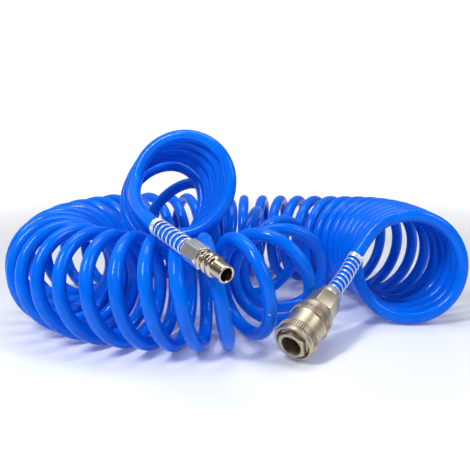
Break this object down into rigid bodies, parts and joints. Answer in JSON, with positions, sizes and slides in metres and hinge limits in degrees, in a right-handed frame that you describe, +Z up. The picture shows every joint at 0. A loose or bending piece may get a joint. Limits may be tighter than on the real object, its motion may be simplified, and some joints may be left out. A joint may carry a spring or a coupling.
{
  "type": "coiled air hose",
  "caption": "Recoil hose wound as an open helix and laid in a loop, with a male quick-coupling plug at one end and a sleeved quick-coupling socket at the other.",
  "frame": {"origin": "centre of the footprint, on the floor under the coil", "axes": "+X along the longest side, to the right; -Y towards the viewer, where both couplings point; +Z up"},
  "size_m": [0.3062, 0.2673, 0.1246],
  "materials": {
    "blue_hose": "glossy blue polyurethane tube, faintly translucent",
    "champagne_nickel": "nickel-plated brass, satin turned, warm champagne tone",
    "bright_zinc": "bright zinc plate, silver white",
    "spring_steel": "drawn and ground steel",
    "black_rubber": "nitrile rubber, matte"
  },
  "bodies": {
    "hose_and_fittings": {"coil_right_run": "blue_hose", "coil_back_right": "blue_hose", "coil_back_run": "blue_hose", "coil_left_back": "blue_hose", "coil_left_front": "blue_hose", "coil_front_run": "blue_hose", "coil_u_turn_front": "blue_hose", "coil_u_turn_back": "blue_hose", "coil_middle_run": "blue_hose", "coil_climbing_run": "blue_hose", "coil_raised_run": "blue_hose", "hose_tail_socket": "blue_hose", "hose_tail_plug": "blue_hose", "plug_body": "champagne_nickel", "socket_nose_body": "champagne_nickel", "socket_rear_body": "champagne_nickel", "plug_nut": "bright_zinc", "socket_nut": "bright_zinc", "socket_spring_guard": "bright_zinc", "plug_spring_guard": "bright_zinc", "sleeve_spring": "spring_steel", "valve_spring": "spring_steel", "sleeve_retaining_ring": "spring_steel", "plug_seal_ring": "black_rubber", "body_joint_seal": "black_rubber"},
    "sliding_sleeve": {"locking_sleeve": "champagne_nickel"},
    "check_valve": {"valve_poppet": "spring_steel"},
    "ball_1": {"locking_ball_1": "spring_steel"},
    "ball_2": {"locking_ball_2": "spring_steel"},
    "ball_3": {"locking_ball_3": "spring_steel"},
    "ball_4": {"locking_ball_4": "spring_steel"},
    "ball_5": {"locking_ball_5": "spring_steel"},
    "ball_6": {"locking_ball_6": "spring_steel"}
  },
  "joints": [
    {"name": "sleeve_slide", "type": "slide", "parent": "hose_and_fittings", "child": "sliding_sleeve", "axis": [0.5464, 0.7515, 0.3697], "range_m": [0, 0.005], "stiffness_N_per_m": 2000, "deforming": ["sleeve_spring"]},
    {"name": "valve_slide", "type": "slide", "parent": "hose_and_fittings", "child": "check_valve", "axis": [0.5464, 0.7515, 0.3697], "range_m": [0, 0.0045], "stiffness_N_per_m": 900, "deforming": ["valve_spring"]},
    {"name": "ball_1_lift", "type": "slide", "parent": "hose_and_fittings", "child": "ball_1", "axis": [0.782, -0.2998, -0.5464], "range_m": [0, 0.00075]},
    {"name": "ball_2_lift", "type": "slide", "parent": "hose_and_fittings", "child": "ball_2", "axis": [0.1314, 0.359, -0.924], "range_m": [0, 0.00075]},
    {"name": "ball_3_lift", "type": "slide", "parent": "hose_and_fittings", "child": "ball_3", "axis": [-0.6507, 0.6588, -0.3777], "range_m": [0, 0.00075]},
    {"name": "ball_4_lift", "type": "slide", "parent": "hose_and_fittings", "child": "ball_4", "axis": [-0.782, 0.2998, 0.5464], "range_m": [0, 0.00075]},
    {"name": "ball_5_lift", "type": "slide", "parent": "hose_and_fittings", "child": "ball_5", "axis": [-0.1314, -0.359, 0.924], "range_m": [0, 0.00075]},
    {"name": "ball_6_lift", "type": "slide", "parent": "hose_and_fittings", "child": "ball_6", "axis": [0.6507, -0.6588, 0.3777], "range_m": [0, 0.00075]}
  ],
  "couplings": [
    {"joint": "ball_1_lift", "follows": "sleeve_slide", "ratio": 0.15},
    {"joint": "ball_2_lift", "follows": "sleeve_slide", "ratio": 0.15},
    {"joint": "ball_3_lift", "follows": "sleeve_slide", "ratio": 0.15},
    {"joint": "ball_4_lift", "follows": "sleeve_slide", "ratio": 0.15},
    {"joint": "ball_5_lift", "follows": "sleeve_slide", "ratio": 0.15},
    {"joint": "ball_6_lift", "follows": "sleeve_slide", "ratio": 0.15}
  ]
}
